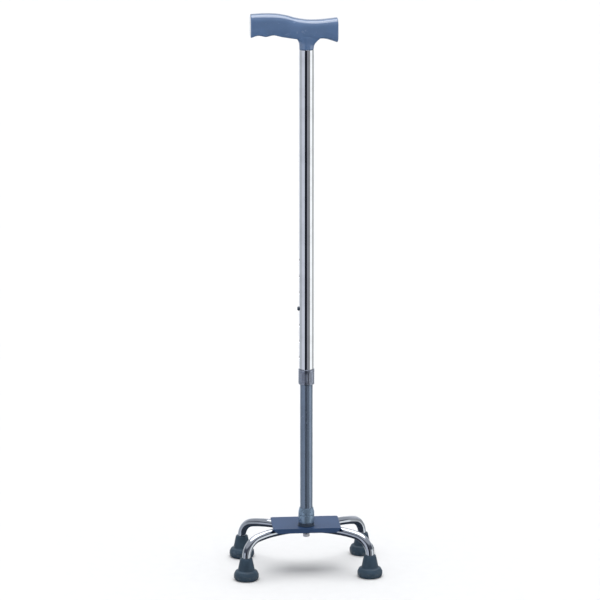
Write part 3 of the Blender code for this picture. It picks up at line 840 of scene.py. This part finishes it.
def ring_loop(radius, z, depth=0.0):
    """One level outline of the lock ring, with its flutes pressed in by the given depth."""
    loop = []
    for t in circle(240):
        dip = 0.5 - 0.5 * math.cos(RING_FLUTES * t)
        r = radius - depth * dip ** 1.5
        loop.append(Vector((r * math.cos(t), SHAFT_Y + r * math.sin(t), z)))
    return loop


def make_ring():
    """The lock ring: plain bands above and below a fluted grip, and a lip under the collet."""
    low_band = RING_LOW + 2.2
    top_band = RING_HIGH - 3.6
    foot = [(10.6, RING_LOW), (RING_R, RING_LOW), (RING_R, low_band - 0.5)]
    crown = [(RING_R, top_band + 0.55), (RING_R, RING_HIGH), (RING_BORE_R, RING_HIGH)]
    loops = [ring_loop(r, z) for r, z in rounded(foot, 0.55)]
    loops.append(ring_loop(RING_GROOVE_R, low_band - 0.35))
    loops.append(ring_loop(RING_GROOVE_R, low_band - 0.05))
    for k in range(9):
        f = k / 8
        ease = min(1.0, math.sin(math.pi * f) * 3.0)
        z = low_band + (top_band - low_band) * f
        loops.append(ring_loop(RING_R - 0.05, z, RING_FLUTE_DEPTH * ease))
    loops.append(ring_loop(RING_GROOVE_R, top_band + 0.1))
    loops.append(ring_loop(RING_GROOVE_R, top_band + 0.4))
    loops += [ring_loop(r, z) for r, z in rounded(crown, 0.5)]
    loops.append(ring_loop(RING_BORE_R, RING_LOW + 4.6))
    loops.append(ring_loop(10.36, RING_LOW + 1.4))
    loops.append(ring_loop(RING_LIP_R, RING_LOW + 1.0))
    loops.append(ring_loop(RING_LIP_R, RING_LOW + 0.2))
    loops.append(ring_loop(10.1, RING_LOW))
    bm = bmesh.new()
    skin(bm, loops, True)
    return build("lock_ring_body", bm)


place(make_ring(), RING, "ring", "ring_metal", "lock_ring")

CAP_LOW, CAP_HIGH = extent("socket_cap", 2)
SLEEVE_LOW, SLEEVE_HIGH = extent("socket_sleeve", 2)
FOOT_LOW, FOOT_HIGH = extent("socket_ring", 2)
SOCKET_R = radius_of("socket_cap")
SOCKET_BORE = 9.75
FOOT_SWELL = 0.5

cap = lathe(
    "socket_cap_body",
    (
        (SOCKET_BORE, CAP_LOW),
        (SOCKET_R, CAP_LOW),
        (SOCKET_R, CAP_LOW + 4.2),
        (10.5, CAP_HIGH - 0.3),
        (10.3, CAP_HIGH),
        (SOCKET_BORE, CAP_HIGH),
    ),
    [0.1, 0.45, 1.6, 0.3, 0.2, 0.2],
    hollow=True,
    steps=6,
)
place(cap, SOCKET, "base", "socket_paint", "socket_cap")
sleeve = lathe(
    "socket_sleeve_body",
    (
        (SOCKET_BORE, SLEEVE_LOW),
        (SOCKET_R, SLEEVE_LOW),
        (SOCKET_R, SLEEVE_HIGH),
        (SOCKET_BORE, SLEEVE_HIGH),
    ),
    [0.1, 0.35, 0.45, 0.1],
    hollow=True,
)
place(sleeve, SOCKET, "base", "socket_paint", "socket_sleeve")
# The foot ring is partly a real black ring and partly painted shade: its black stands in for the
# shade where the socket meets the plate.
foot = lathe(
    "socket_foot_ring_and_painted_shade",
    (
        (SOCKET_BORE, FOOT_LOW),
        (SOCKET_R + FOOT_SWELL, FOOT_LOW),
        (SOCKET_R + FOOT_SWELL, FOOT_LOW + 1.1),
        (SOCKET_R - 0.1, FOOT_LOW + 2.0),
        (SOCKET_R - 0.1, FOOT_HIGH),
        (SOCKET_BORE, FOOT_HIGH),
    ),
    [0.1, 0.3, 0.5, 0.6, 0.4, 0.1],
    hollow=True,
)
place(foot, BLACK, "base", "black_plastic", "socket_ring")

# ---------------------------------------------------------------- base plate


PLATE_THICK = 2.0
SKIRT_THICK = 1.8
SKIRT_CHAMFER = 5.0
FRONT_SKIRT_REACH = 49.4
REAR_SKIRT_REACH = 25.0
BOLT_HOLE_R = 3.3


def make_plate():
    """The pressed plate with its folded front edge, chamfered corners and short rear fold."""
    half = extent("base_plate", 0)[1]
    front, back = extent("base_plate", 1)
    top = PLATE_HIGH
    under = top - PLATE_THICK
    corners = [(-half, front), (half, front), (half, back), (-half, back)]
    outline = rounded(corners, [1.0, 1.0, 3.2, 3.2], closed=True, steps=5)
    plate = prism("base_plate_pressing", outline, under, top)
    skirts = []
    for name, reach, near, far in (
        ("skirt_front", FRONT_SKIRT_REACH, front, front + SKIRT_THICK),
        ("skirt_rear", REAR_SKIRT_REACH, back - SKIRT_THICK, back),
    ):
        shape = [
            (-reach, under + 0.6),
            (-reach, PLATE_LOW + 3.0),
            (-reach + SKIRT_CHAMFER, PLATE_LOW),
            (reach - SKIRT_CHAMFER, PLATE_LOW),
            (reach, PLATE_LOW + 3.0),
            (reach, under + 0.6),
        ]
        line = rounded(shape, [0, 1.4, 1.8, 1.8, 1.4, 0], closed=True, steps=3)
        skirts.append(prism(name, line, near, far, axis=1))
    combine(plate, skirts, "UNION")
    drill = (
        (AXIS_R, under - 4.0),
        (BOLT_HOLE_R, under - 4.0),
        (BOLT_HOLE_R, top + 4.0),
        (AXIS_R, top + 4.0),
    )
    combine(plate, [lathe("bolt_hole", drill, 0)], "DIFFERENCE")
    bevel(plate, 0.75, 3, 50.0)
    shade(plate, 42.0)
    level_normals(plate)
    return plate


place(make_plate(), PLATE, "base", "plate_paint", "base_plate")

# ---------------------------------------------------------------- leg tubes

LEG_R = 6.35
LEG_Z = 63.3
LEG_END = 10.4
LEG_BEND_R = 27.0
SLOPE_START_X = 50.0
# Each leg tube's bow: y at the middle, radius, half angle and direction; then foot x, foot y, slope.
FRONT_LEG = (11.5, 76.0, 34.0, -1.0, 94.0, -35.0, 10.0)
REAR_LEG = (27.5, 98.0, 44.0, 1.0, 93.0, 80.0, 15.0)


def leg_half(bow_y, bow_r, bow_deg, outward, foot_x, foot_y, slope_deg):
    """Centre line of half a leg tube: level bow, gentle fall, down bend, straight into the tip."""
    path = []
    for i in range(25):
        t = math.radians(bow_deg * i / 24)
        y = bow_y + outward * bow_r * (1.0 - math.cos(t))
        path.append(Vector((bow_r * math.sin(t), y, LEG_Z)))
    slope = math.radians(slope_deg)
    over = Vector((foot_x, foot_y, LEG_Z))
    away = (over - path[-1]).normalized()
    start = over - away * LEG_BEND_R * (1.0 - math.sin(slope))
    bow_end = path[-1].copy()
    path += [bow_end.lerp(start, k / 6) for k in range(1, 6)]
    fall_x = start.x - SLOPE_START_X
    fall = 0.5 * math.tan(slope) * fall_x / away.x
    for point in path:
        part = max(0.0, (point.x - SLOPE_START_X) / fall_x)
        point.z -= fall * part * part
    start.z -= fall
    for i in range(29):
        t = slope + (0.5 * math.pi - slope) * i / 28
        along = LEG_BEND_R * (math.sin(t) - math.sin(slope))
        drop = LEG_BEND_R * (math.cos(slope) - math.cos(t))
        path.append(start + away * along - Vector((0.0, 0.0, drop)))
    path.append(Vector((foot_x, foot_y, 20.0)))
    path.append(Vector((foot_x, foot_y, LEG_END)))
    return [p + Vector((0.0, SHAFT_Y, 0.0)) for p in path]


def make_leg(name, half):
    """A whole leg tube from the centre line of its right half."""
    left = [Vector((-p.x, p.y, p.z)) for p in reversed(half[1:])]
    return sweep(name, left + half, LEG_R, 48)


FRONT_PATH = leg_half(*FRONT_LEG)
REAR_PATH = leg_half(*REAR_LEG)
front_leg = make_leg("front_leg_bend", FRONT_PATH)
rear_leg = make_leg("rear_leg_bend", REAR_PATH)
# Both leg tubes take the darker leg chrome, whose extra darkness is painted shade.
place(front_leg, SHADED_LEG_CHROME, "base", "chrome", "front_leg_tube")
place(rear_leg, SHADED_LEG_CHROME, "base", "chrome", "rear_leg_tube")

WELD_FROM = 10.0
WELD_TO = 36.0
WELD_R = 1.35
WELD_STEPS = 46


def weld(name, path, side):
    """A rippled weld bead in the corner between a leg tube and the plate, beside the tube."""
    run = [p for p in path if WELD_FROM <= abs(p.x) <= WELD_TO]
    points = []
    for k in range(WELD_STEPS + 1):
        f = k / WELD_STEPS * (len(run) - 1)
        i = min(int(f), len(run) - 2)
        a, b = run[i], run[i + 1]
        along = (b - a).normalized()
        out = Vector((-along.y, along.x, 0.0)) * side
        points.append(a.lerp(b, f - i) + out * 4.55 + Vector((0.0, 0.0, 5.0)))

    def radius(t):
        """Radius of the bead along its length, thin at both ends."""
        ripple = 0.11 * math.sin(t * WELD_STEPS * 0.9)
        end = min(1.0, 6.0 * t + 0.25, 6.0 * (1.0 - t) + 0.25)
        return (WELD_R + ripple) * end

    return sweep(name, points, radius, 16, Vector((0.0, 0.0, 1.0)))


for end, path, inner in (("front", FRONT_PATH, 1), ("rear", REAR_PATH, -1)):
    for hand, sign in (("right", 1.0), ("left", -1.0)):
        mirrored = sorted((Vector((sign * p.x, p.y, p.z)) for p in path), key=lambda p: p.x)
        place(weld(f"weld_{end}_{hand}", mirrored, inner), WELD, "base", "steel")

# ---------------------------------------------------------------- rubber tips


TIP_HIGH = extent("tip_front_left", 2)[1]
TREAD_DEPTH = 1.6
# Outline of a rubber tip, as (radius, z, radius of the rounding at that corner).
TIP_OUTLINE = (
    (2.0, 2.2, 0.0),
    (5.2, 2.2, 0.3),
    (5.2, 0.0, 0.2),
    (7.0, 0.0, 0.2),
    (7.0, TREAD_DEPTH, 0.3),
    (9.4, TREAD_DEPTH, 0.3),
    (9.4, 0.0, 0.2),
    (12.0, 0.0, 0.2),
    (12.0, TREAD_DEPTH, 0.3),
    (14.4, TREAD_DEPTH, 0.3),
    (14.4, 0.0, 0.2),
    (17.2, 0.0, 1.2),
    (19.0, 3.4, 3.4),
    (18.9, 8.2, 3.2),
    (16.6, 13.0, 2.0),
    (12.9, 14.4, 1.8),
    (12.0, 19.0, 4.0),
    (10.9, 24.5, 4.0),
    (9.8, 29.6, 4.0),
    (8.9, TIP_HIGH, 1.6),
    (6.6, TIP_HIGH, 0.5),
    (6.6, 8.0, 0.3),
    (2.0, 8.0, 0.0),
)


def make_tip(node):
    """A rubber tip on one leg end, with two tread grooves round its flat foot."""
    centre = (middle(node, 0), middle(node, 1))
    outline = [(r, z) for r, z, _ in TIP_OUTLINE]
    radii = [rounding for _, _, rounding in TIP_OUTLINE]
    return lathe(f"rubber_{node}", outline, radii, count=80, centre=centre, steps=5, sharp=44.0)


for end in ("front", "rear"):
    for hand in ("left", "right"):
        node = f"tip_{end}_{hand}"
        place(make_tip(node), RUBBER, "base", "rubber", node)

# ---------------------------------------------------------------- centre bolt


HEX_R = 5.5
HEX_HIGH = 4.35
SHOULDER_R = 4.6
SHOULDER_TOP = 67.9
SHANK_R = 2.95


def make_bolt():
    """Chamfered hex head, then shoulder and shank in one turned piece."""
    low, high = extent("centre_bolt", 2)
    turns = [math.radians(60 * i + 30) for i in range(6)]
    hexagon = [(HEX_R * math.cos(t), SHAFT_Y + HEX_R * math.sin(t)) for t in turns]
    bolt = prism("centre_bolt_head", hexagon, low, low + HEX_HIGH)
    cone = (
        (AXIS_R, low - 0.01),
        (4.55, low - 0.01),
        (5.9, low + 0.9),
        (5.9, low + 5.0),
        (AXIS_R, low + 5.0),
    )
    combine(bolt, [lathe("chamfer_blank", cone, 0, count=64)], "INTERSECT")
    shaft = (
        (AXIS_R, low + HEX_HIGH - 0.15),
        (SHOULDER_R, low + HEX_HIGH - 0.15),
        (SHOULDER_R, SHOULDER_TOP),
        (SHANK_R, SHOULDER_TOP),
        (SHANK_R, high),
        (AXIS_R, high),
    )
    shank = lathe("shank_blank", shaft, [0, 0.3, 0.3, 0.2, 0.7, 0], count=64)
    combine(bolt, [shank], "UNION")
    shade(bolt, 28.0)
    return bolt


place(make_bolt(), STEEL, "base", "steel", "centre_bolt")

# ---------------------------------------------------------------- CAD nodes that stay

KEPT = {
    "top_guide_bush": WHITE,
    "lock_collet": WHITE,
    "centre_washer": STEEL,
    "tube_foot_plug": STEEL,
    "tip_washer_front_left": STEEL,
    "tip_washer_front_right": STEEL,
    "tip_washer_rear_left": STEEL,
    "tip_washer_rear_right": STEEL,
}
for node, material in KEPT.items():
    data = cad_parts[node].data
    data.materials.clear()
    data.materials.append(material)

# ---------------------------------------------------------------- studio


FLOOR_R = 10.0
FLOOR_DROP = 0.0004
CORNER_R = 5.0
WALL_HIGH = 9.0


def make_floor():
    """A round white floor, in metres, that curves up into a glowing wall far from the object."""
    profile = [(0.6, 0.0), (3.0, 0.0), (FLOOR_R, 0.0)]
    for i in range(1, 13):
        t = 0.5 * math.pi * i / 12
        profile.append((FLOOR_R + CORNER_R * math.sin(t), CORNER_R * (1.0 - math.cos(t))))
    profile.append((FLOOR_R + CORNER_R, WALL_HIGH))
    bm = bmesh.new()
    rows = []
    for r, z in profile:
        spots = [(r * math.cos(t), r * math.sin(t), z - FLOOR_DROP) for t in circle(96)]
        rows.append([bm.verts.new(spot) for spot in spots])
    for low, high in zip(rows, rows[1:]):
        for i in range(96):
            j = (i + 1) % 96
            bm.faces.new((low[j], low[i], high[i], high[j]))
    bm.faces.new(rows[0])
    mesh = bpy.data.meshes.new("studio_floor")
    bm.to_mesh(mesh)
    bm.free()
    for face in mesh.polygons:
        face.use_smooth = True
    floor = bpy.data.objects.new("studio_floor", mesh)
    bpy.context.scene.collection.objects.link(floor)
    p = Paint("studio_white")
    grain = p.ramp(p.noise(60.0, detail=3.0), 0.3, 0.7)
    p.wire("Base Color", p.mix(grain, (0.575, 0.575, 0.575), (0.585, 0.585, 0.585)))
    p.set("Roughness", 0.9)
    p.set("Specular IOR Level", 0.0)
    p.set("Emission Color", (1.0, 1.0, 1.0, 1.0))
    rise = p.ramp(p.axis(2), -0.2, 3.0, 0.0, 0.80)
    p.wire("Emission Strength", rise)
    mesh.materials.append(p.material)
    floor.visible_glossy = False


VIEW_TURN = 4.8
# What stands round the object, as (degrees round, colour): near the horizon, then above it.
LOW_STOPS = (
    (-180, (0.90, 0.93, 0.96)),
    (-132, (0.88, 0.92, 0.96)),
    (-120, (0.48, 0.51, 0.55)),
    (-82, (0.50, 0.53, 0.57)),
    (-70, (0.66, 0.69, 0.77)),
    (-28, (0.67, 0.71, 0.80)),
    (-24, (0.003, 0.004, 0.010)),
    (7, (0.002, 0.003, 0.008)),
    (12, (0.28, 0.29, 0.32)),
    (54, (0.28, 0.29, 0.30)),
    (62, (1.25, 1.27, 1.27)),
    (95, (1.22, 1.25, 1.24)),
    (103, (0.50, 0.51, 0.51)),
    (145, (0.48, 0.50, 0.50)),
    (155, (0.90, 0.93, 0.96)),
    (180, (0.90, 0.93, 0.96)),
)
HIGH_STOPS = (
    (-180, (0.85, 0.87, 0.90)),
    (-130, (0.80, 0.82, 0.86)),
    (-85, (0.10, 0.11, 0.14)),
    (85, (0.10, 0.11, 0.14)),
    (130, (0.80, 0.82, 0.86)),
    (180, (0.85, 0.87, 0.90)),
)
SKY = (0.52, 0.54, 0.58)
NADIR = (0.045, 0.055, 0.075)


def make_world():
    """What the polished tubes see round the studio: pale walls, soft boxes and dark gaps."""
    world = bpy.data.worlds.new("studio")
    bpy.context.scene.world = world
    world.use_nodes = True
    tree = world.node_tree
    background = tree.nodes["Background"]
    direction = tree.nodes.new("ShaderNodeTexCoord").outputs["Generated"]
    turned = tree.nodes.new("ShaderNodeMapping")
    turned.vector_type = "POINT"
    turned.inputs["Rotation"].default_value = (0.0, 0.0, math.radians(VIEW_TURN + 90.0))
    tree.links.new(direction, turned.inputs["Vector"])
    radial = tree.nodes.new("ShaderNodeTexGradient")
    radial.gradient_type = "RADIAL"
    tree.links.new(turned.outputs["Vector"], radial.inputs["Vector"])

    def around(stops):
        """Colours by the direction round the object."""
        ramp = tree.nodes.new("ShaderNodeValToRGB")
        ramp.color_ramp.interpolation = "LINEAR"
        tree.links.new(radial.outputs["Fac"], ramp.inputs["Fac"])
        elements = ramp.color_ramp.elements
        while len(elements) > 1:
            elements.remove(elements[-1])
        for i, (angle, colour) in enumerate(stops):
            spot = (angle + 180.0) / 360.0
            element = elements[0] if i == 0 else elements.new(spot)
            element.position = spot
            element.color = (*colour, 1.0)
        return ramp.outputs["Color"]

    split = tree.nodes.new("ShaderNodeSeparateXYZ")
    tree.links.new(direction, split.inputs["Vector"])

    def mix(start, stop, a, colour):
        """Fades one colour into the next between two heights of the direction."""
        span = tree.nodes.new("ShaderNodeMapRange")
        span.interpolation_type = "SMOOTHSTEP"
        span.inputs["From Min"].default_value = start
        span.inputs["From Max"].default_value = stop
        tree.links.new(split.outputs["Z"], span.inputs["Value"])
        made = tree.nodes.new("ShaderNodeMix")
        made.data_type = "RGBA"
        tree.links.new(span.outputs["Result"], made.inputs["Factor"])
        sockets = [s for s in made.inputs if s.type == "RGBA"]
        tree.links.new(a, sockets[0])
        if isinstance(colour, tuple):
            sockets[1].default_value = (*colour, 1.0)
        else:
            tree.links.new(colour, sockets[1])
        return [s for s in made.outputs if s.type == "RGBA"][0]

    horizon = mix(0.06, 0.14, around(LOW_STOPS), around(HIGH_STOPS))
    sky = mix(0.35, 0.55, horizon, SKY)
    whole = mix(-0.44, -0.55, sky, NADIR)
    tree.links.new(whole, background.inputs["Color"])
    background.inputs["Strength"].default_value = 1.0


def soft_sun(name, azimuth, elevation, angle, strength):
    """A very wide overhead soft light, the same all over the floor."""
    light = bpy.data.lights.new(name, "SUN")
    light.angle = math.radians(angle)
    light.energy = strength
    obj = bpy.data.objects.new(name, light)
    bpy.context.scene.collection.objects.link(obj)
    az, el = math.radians(azimuth), math.radians(elevation)
    toward = Vector((math.cos(el) * math.sin(az), -math.cos(el) * math.cos(az), math.sin(el)))
    obj.location = toward * 3.0
    obj.rotation_mode = "QUATERNION"
    obj.rotation_quaternion = toward.to_track_quat("Z", "Y")


CAMERA_AWAY = 5.7
CAMERA_HIGH = 1.850
CAMERA_LENS = 235.1
AIM_HIGH = 0.425
AIM_LEFT = 0.0096


def make_camera():
    """The product view: a little from the left and above, from well back."""
    turn = math.radians(VIEW_TURN)
    shaft = Vector((0.0, SHAFT_Y * MM, AIM_HIGH))
    back = Vector((-CAMERA_AWAY * math.sin(turn), -CAMERA_AWAY * math.cos(turn), 0.0))
    position = shaft + back + Vector((0.0, 0.0, CAMERA_HIGH - AIM_HIGH))
    right = Vector((math.cos(turn), -math.sin(turn), 0.0))
    target = shaft - right * AIM_LEFT
    data = bpy.data.cameras.new("camera")
    data.sensor_width = 36.0
    data.lens = CAMERA_LENS
    data.clip_end = 100.0
    camera = bpy.data.objects.new("camera", data)
    bpy.context.scene.collection.objects.link(camera)
    camera.location = position
    camera.rotation_mode = "QUATERNION"
    camera.rotation_quaternion = (target - position).to_track_quat("-Z", "Y")
    bpy.context.scene.camera = camera


make_floor()
make_world()
soft_sun("overhead_soft_box", 165.0, 83.0, 60.0, 3.1)
make_camera()
bpy.context.scene.view_settings.view_transform = "Standard"
